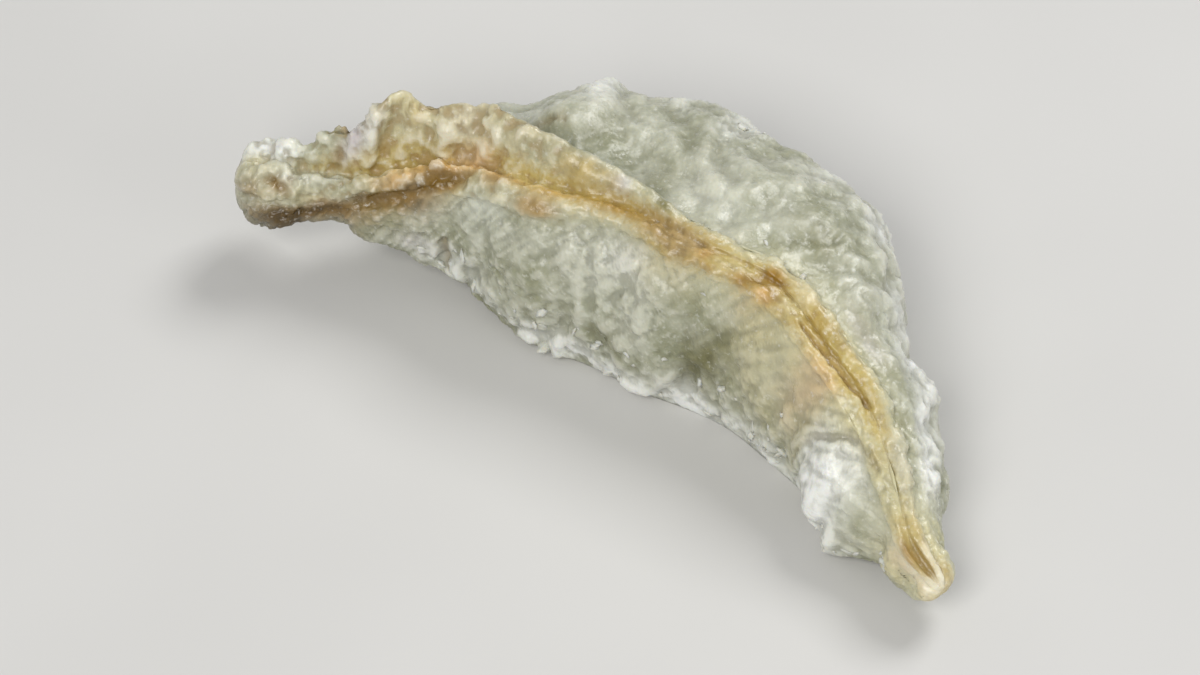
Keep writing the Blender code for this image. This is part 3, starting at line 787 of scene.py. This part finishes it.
class Nodes:
    """Short calls for building a material's node tree."""

    def __init__(self, name):
        self.material = bpy.data.materials.new(name)
        self.material.use_nodes = True
        self.tree = self.material.node_tree
        self.shader = self.tree.nodes["Principled BSDF"]
        self.coords = self.tree.nodes.new("ShaderNodeTexCoord").outputs["Object"]

    def put(self, socket, value):
        """Links a socket into an input, or sets the input's value."""
        if isinstance(value, bpy.types.NodeSocket):
            self.tree.links.new(value, socket)
        else:
            socket.default_value = value

    def math(self, operation, a, b, clamp=False):
        """One sum or product of two values."""
        node = self.tree.nodes.new("ShaderNodeMath")
        node.operation = operation
        node.use_clamp = clamp
        self.put(node.inputs[0], a)
        self.put(node.inputs[1], b)
        return node.outputs[0]

    def mix(self, share, a, b):
        """Mixes a share of b into a. Each is a socket or a screen colour."""
        node = self.tree.nodes.new("ShaderNodeMix")
        node.data_type = "RGBA"
        self.put(node.inputs["Factor"], share)
        for name, colour in (("A", a), ("B", b)):
            self.put(node.inputs[name], linear(colour) if isinstance(colour, tuple) else colour)
        return node.outputs["Result"]

    def mask(self, name):
        """The values that are stored on the mesh's points under that name."""
        node = self.tree.nodes.new("ShaderNodeAttribute")
        node.attribute_name = name
        return node.outputs["Fac"]

    def noise(self, size, detail=3.0, roughness=0.55):
        """Soft noise of that grain in metres."""
        node = self.tree.nodes.new("ShaderNodeTexNoise")
        node.inputs["Scale"].default_value = 1 / size
        node.inputs["Detail"].default_value = detail
        node.inputs["Roughness"].default_value = roughness
        self.tree.links.new(self.coords, node.inputs["Vector"])
        return node.outputs["Fac"]

    def cells(self, size):
        """Distance from the middle of random cells of that size in metres."""
        node = self.tree.nodes.new("ShaderNodeTexVoronoi")
        node.inputs["Scale"].default_value = 1 / size
        self.tree.links.new(self.coords, node.inputs["Vector"])
        return node.outputs["Distance"]

    def span(self, value, low, high, to_low=0.0, to_high=1.0):
        """Maps low..high of a value to to_low..to_high, clamped."""
        node = self.tree.nodes.new("ShaderNodeMapRange")
        node.interpolation_type = "SMOOTHSTEP"
        self.put(node.inputs["Value"], value)
        for socket, number in zip(node.inputs[1:5], (low, high, to_low, to_high)):
            socket.default_value = number
        return node.outputs["Result"]

    def bump(self, height, distance, below=None):
        """A bumped normal of that depth in metres, over another one where below is given."""
        node = self.tree.nodes.new("ShaderNodeBump")
        node.inputs["Distance"].default_value = distance
        node.inputs["Strength"].default_value = 1.0
        self.put(node.inputs["Height"], height)
        if below is not None:
            self.put(node.inputs["Normal"], below)
        return node.outputs["Normal"]

    def settings(self, **values):
        """Sets the shader's own sockets by name, with underscores for spaces."""
        for name, value in values.items():
            self.put(self.shader.inputs[name.replace("_", " ")], value)


def dough_material():
    """Fried dough: pale grey-green skin over a dark filling, and a golden crest.

    The mask "high" is the height of the relief in millimetres, below 0 in its hollows. It paints
    shade into the hollows and highlight onto the tops, and small white specks are painted glints.
    """
    n = Nodes("fried_dough")
    mottle = n.noise(0.0048, 4.0)
    grain = n.noise(0.0011, 5.0, 0.6)
    fine = n.noise(0.00045, 3.0, 0.6)
    high = n.math("ADD", n.mask("high"), n.span(grain, 0.30, 0.70, -0.05, 0.05))

    colour = n.mix(n.span(mottle, 0.38, 0.62), *SKIN)
    # Painted shade in the hollows of the relief, and painted highlight on its tops.
    colour = n.mix(n.span(high, 0.0, -0.16, 0.0, 0.45), colour, SKIN_PAINTED_SHADE)
    colour = n.mix(n.span(high, 0.01, 0.19, 0.0, 0.50), colour, SKIN_PAINTED_HIGHLIGHT)
    colour = n.mix(n.math("MULTIPLY", n.mask("halo"), 0.45), colour, BY_THE_CREST)

    gold = n.mix(n.span(mottle, 0.40, 0.62), *GOLD)
    gold = n.mix(n.span(n.mask("streak"), -0.10, -0.60, 0.0, 0.45), gold, GOLD_STREAKS[0])
    gold = n.mix(n.span(n.mask("streak"), 0.15, 0.65, 0.0, 0.45), gold, GOLD_STREAKS[1])
    # Painted shade in the hollows of the golden relief, and painted highlight on its tops.
    gold = n.mix(n.span(high, 0.0, -0.12, 0.0, 0.55), gold, GOLD_PAINTED_SHADE)
    gold = n.mix(n.span(high, 0.02, 0.13, 0.0, 0.50), gold, GOLD_PAINTED_HIGHLIGHT)
    edge = n.math("ADD", n.mask("gold"), n.span(fine, 0.3, 0.7, -0.16, 0.16), clamp=True)
    colour = n.mix(n.span(edge, 0.05, 0.45, 0.0, 0.75), colour, GOLD_EDGE)
    colour = n.mix(n.span(edge, 0.30, 0.95, 0.0, 0.95), colour, gold)

    for name, tint, _ in TINTS:
        broken = n.math("ADD", n.mask(name), n.span(grain, 0.30, 0.70, -0.14, 0.14), clamp=True)
        share = n.math("MULTIPLY", n.mask(name), n.span(broken, 0.0, 0.45, 0.55, 1.0))
        # The white tint is partly painted rim highlight, so it stays off the hollows.
        if name == "white_and_rim_highlight":
            off_hollows = n.span(high, -0.10, 0.04, 0.75, 1.0)
            share = n.math("MULTIPLY", share, off_hollows)
        # Each tint is darker in the hollows and lighter on the tops of the relief: painted shade and
        # highlight.
        dark, light = (tuple(scale * c for c in tint) for scale in (TINT_PAINTED_SHADE_SCALE, TINT_PAINTED_HIGHLIGHT_SCALE))
        relief_shaded_tint = n.mix(n.span(high, -0.12, 0.10), dark, light)
        colour = n.mix(n.math("MULTIPLY", share, 0.92), colour, relief_shaded_tint)

    # Painted shade between the lumps of the frills, and painted highlight on their tops.
    hollows = n.math("MULTIPLY", n.mask("frills"), n.span(high, 0.01, -0.20, 0.0, 0.42))
    colour = n.mix(hollows, colour, FRILL_PAINTED_SHADE)
    tops = n.math("MULTIPLY", n.mask("frills"), n.span(high, 0.04, 0.26, 0.0, 0.45))
    colour = n.mix(tops, colour, FRILL_PAINTED_HIGHLIGHT)
    colour = n.mix(n.mask("shade"), colour, CREASE_SHADE)
    # Small white specks scattered by noise: painted glints.
    glint_share = n.span(n.noise(0.0006, 4.0, 0.60), 0.58, 0.70, 0.0, 0.30)
    colour = n.mix(glint_share, colour, PAINTED_GLINTS)

    rough = n.span(n.noise(0.0021, 3.0), 0.35, 0.68, 0.26, 0.46)
    micro = n.bump(fine, 0.00009)
    pores = n.bump(n.cells(0.00062), 0.00006, micro)
    n.settings(
        Base_Color=colour,
        Roughness=rough,
        Normal=pores,
        Specular_IOR_Level=0.5,
        Subsurface_Weight=0.22,
        Subsurface_Radius=(1.0, 0.80, 0.50),
        Subsurface_Scale=0.0012,
        Coat_Weight=0.35,
        Coat_Roughness=0.25,
    )
    return n.material


def crumb_material():
    """Pale fried crumbs of batter, some a little browner than others."""
    n = Nodes("fried_crumbs")
    grain = n.noise(0.0005, 3.0)
    pale = n.mix(n.mask("tone"), CRUMB_PALE, CRUMB_BROWN)
    colour = n.mix(n.span(grain, 0.4, 0.7, 0.0, 0.5), pale, CRUMB_GRAIN)
    n.settings(
        Base_Color=colour,
        Roughness=0.45,
        Normal=n.bump(grain, 0.00008),
        Subsurface_Weight=0.25,
        Subsurface_Radius=(1.0, 0.7, 0.4),
        Subsurface_Scale=0.0010,
    )
    return n.material


def build_skin():
    """The blistered skin that stands for the part's solid, and what the crumbs need of it."""
    stations, places = station_places(STATIONS), places_round(STEPS_ROUND)
    skin, heights = fried_skin(smooth_skin(stations, places), stations, places)
    skin = centre_footprint(skin)
    sheet = Sheet(skin, stations, places)
    masks = skin_masks(sheet, stations)
    fine = fine_relief(sheet, stations)
    heights = heights + fine
    proud = heights - blurred(heights, HIGH_PASSES)
    masks["high"] = 1000 * proud * np.where(sheet.even_side < BACK_FROM, HIGH_ON_BACK, 1.0)
    skin = finish_skin(skin, fine, stations)
    mesh = skin_mesh("gyoza_skin", skin)
    for name, grid in masks.items():
        store(mesh, name, grid)
    mesh.materials.append(dough_material())
    piece = bpy.data.objects.new("gyoza_skin", mesh)
    bpy.context.scene.collection.objects.link(piece)
    return piece, skin, outward_normals(skin), stations, sides(places)


def add_crumb(bm, tones, rng, point, normal, size, flat, tone):
    """One irregular crumb at a point of the skin, sunk a little into it."""
    made = bmesh.ops.create_icosphere(bm, subdivisions=2, radius=1.0)["verts"]
    turn = Vector((0, 0, 1)).rotation_difference(normal).to_matrix().to_4x4()
    turn = turn @ Matrix.Rotation(rng.uniform(0, math.tau), 4, "Z")
    stretch = Vector((rng.uniform(*CRUMB_LONG), rng.uniform(*CRUMB_WIDE), flat))
    seed = Vector((rng.uniform(0, 50), rng.uniform(0, 50), rng.uniform(0, 50)))
    centre = point + normal * size * flat * CRUMB_PROUD
    for vert in made:
        lump = 1 + CRUMB_LUMPS * noise.noise(vert.co * CRUMB_LUMP_GRAIN + seed)
        local = Vector(c * s for c, s in zip(vert.co * lump, stretch)) * size
        vert.co = centre + (turn @ local)
        vert.co.z = max(vert.co.z, 0.0)
        vert[tones] = tone


def add_flake(bm, tones, skin, normals, stations, side):
    """A spiky flake of batter that stands out from the lower rim."""
    row = int(np.argmin(np.abs(stations - FLAKE_AT[0])))
    column = int(np.argmin(np.abs(side - FLAKE_AT[1])))
    point, out = Vector(skin[row, column]), Vector(normals[row, column])
    out = Vector((out.x, out.y, FLAKE_RISE)).normalized()
    turn = Vector((0, 0, 1)).rotation_difference(out).to_matrix().to_4x4()
    made = bmesh.ops.create_icosphere(bm, subdivisions=3, radius=1.0)["verts"]
    for vert in made:
        x, y, z = vert.co
        grain = Vector((FLAKE_PRONG_GRAIN * x, FLAKE_PRONG_GRAIN * y, 0.7))
        prongs = 1 + FLAKE_PRONGS * noise.noise(grain)
        tip = FLAKE_STRETCH[2] + FLAKE_TIP * max(z, 0) * prongs
        local = Vector((FLAKE_STRETCH[0] * x * prongs, FLAKE_STRETCH[1] * y * prongs, tip * z))
        vert.co = point + (turn @ (local * FLAKE_SIZE))
        vert[tones] = 0.0


def crumb_share(u, side):
    """The share of the tries at a place that leave a crumb."""
    if abs(side) < CREST_SIDE:
        return 0.0
    on_front_rim = RIM_SIDES[0] < side < RIM_SIDES[1] and u > RIM_FROM
    return RIM_SHARE if on_front_rim else OTHER_SHARE


def build_crumbs(skin, normals, stations, side):
    """Loose crumbs and one flake of batter, most of them along the lower rim of the front."""
    rng = random.Random(CRUMB_SEED)
    bm = bmesh.new()
    tones = bm.verts.layers.float.new("tone")
    add_flake(bm, tones, skin, normals, stations, side)
    made = 0
    while made < CRUMBS:
        row = rng.randrange(ENDS_FREE[0], len(stations) - ENDS_FREE[1])
        column = rng.randrange(len(side))
        point, normal = Vector(skin[row, column]), Vector(normals[row, column])
        skipped = rng.random() > crumb_share(stations[row], side[column])
        if skipped or point.z < LOWEST_CRUMB or normal.z < FACING_DOWN:
            continue
        size = CRUMB_SIZE * rng.uniform(*CRUMB_SIZES) ** 1.5
        tone = rng.uniform(*CRUMB_TONES)
        add_crumb(bm, tones, rng, point, normal, size, rng.uniform(*CRUMB_FLAT), tone)
        made += 1
    mesh = bpy.data.meshes.new("batter_crumbs")
    bm.to_mesh(mesh)
    bm.free()
    mesh.shade_smooth()
    mesh.materials.append(crumb_material())
    piece = bpy.data.objects.new("batter_crumbs", mesh)
    bpy.context.scene.collection.objects.link(piece)
    return piece


def build_floor():
    """A plain pale floor, wide enough to fill every view."""
    mesh = bpy.data.meshes.new("floor")
    corners = [(FLOOR_REACH * x, FLOOR_REACH * y, 0) for x, y in ((-1, -1), (1, -1), (1, 1), (-1, 1))]
    mesh.from_pydata(corners, [], [(0, 1, 2, 3)])
    n = Nodes("floor_paint")
    tint = n.mix(n.span(n.noise(0.05, 2.0), 0.3, 0.7), *FLOOR)
    n.settings(Base_Color=tint, Roughness=0.6)
    mesh.materials.append(n.material)
    floor = bpy.data.objects.new("floor", mesh)
    floor.location.z = -FLOOR_DROP
    bpy.context.scene.collection.objects.link(floor)
    floor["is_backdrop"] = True


def direction(azimuth, elevation):
    """Unit vector from the object to a viewer at that azimuth and elevation, in degrees."""
    a, e = math.radians(azimuth), math.radians(elevation)
    return Vector((math.sin(a) * math.cos(e), -math.cos(a) * math.cos(e), math.sin(e)))


def add_light(name, azimuth, elevation, size, power, colour):
    """A soft square light that faces the dumpling."""
    data = bpy.data.lights.new(name, "AREA")
    data.shape = "SQUARE"
    data.size = size
    data.energy = power
    data.color = colour
    light = bpy.data.objects.new(name, data)
    toward = direction(azimuth, elevation)
    light.location = toward * LIGHT_DISTANCE
    light.rotation_mode = "QUATERNION"
    light.rotation_quaternion = (-toward).to_track_quat("-Z", "Y")
    bpy.context.scene.collection.objects.link(light)


def light_scene():
    """Plain soft studio light, under an even pale sky."""
    for light in LIGHTS:
        add_light(*light)
    world = bpy.data.worlds.new("studio")
    world.use_nodes = True
    world.node_tree.nodes["Background"].inputs["Color"].default_value = WORLD_COLOUR
    world.node_tree.nodes["Background"].inputs["Strength"].default_value = WORLD_STRENGTH
    bpy.context.scene.world = world
    bpy.context.scene.view_settings.view_transform = "Standard"


def place_camera():
    """The camera at the photograph's viewing angle, framed on the dumpling."""
    back = direction(CAMERA_AZIMUTH, CAMERA_ELEVATION)
    right = Vector((0, 0, 1)).cross(back).normalized()
    up = back.cross(right)
    data = bpy.data.cameras.new("camera")
    data.sensor_width = 36.0
    data.lens = data.sensor_width * CAMERA_DISTANCE / VIEW_WIDTH
    data.clip_start = 0.01
    camera = bpy.data.objects.new("camera", data)
    camera.location = AIM + back * CAMERA_DISTANCE + right * AIM_SHIFT[0] + up * AIM_SHIFT[1]
    camera.rotation_mode = "QUATERNION"
    camera.rotation_quaternion = (-back).to_track_quat("-Z", "Y")
    bpy.context.scene.collection.objects.link(camera)
    bpy.context.scene.camera = camera


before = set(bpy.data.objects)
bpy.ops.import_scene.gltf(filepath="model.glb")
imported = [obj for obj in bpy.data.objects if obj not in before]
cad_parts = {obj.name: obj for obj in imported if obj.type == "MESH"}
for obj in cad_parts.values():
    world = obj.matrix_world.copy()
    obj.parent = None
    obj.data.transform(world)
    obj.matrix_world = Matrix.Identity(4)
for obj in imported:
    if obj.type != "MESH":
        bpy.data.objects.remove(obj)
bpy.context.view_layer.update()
place_camera()
gyoza, *grid = build_skin()
crumbs = build_crumbs(*grid)
for piece in (gyoza, crumbs):
    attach(piece, "root")
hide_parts("gyoza")
build_floor()
light_scene()
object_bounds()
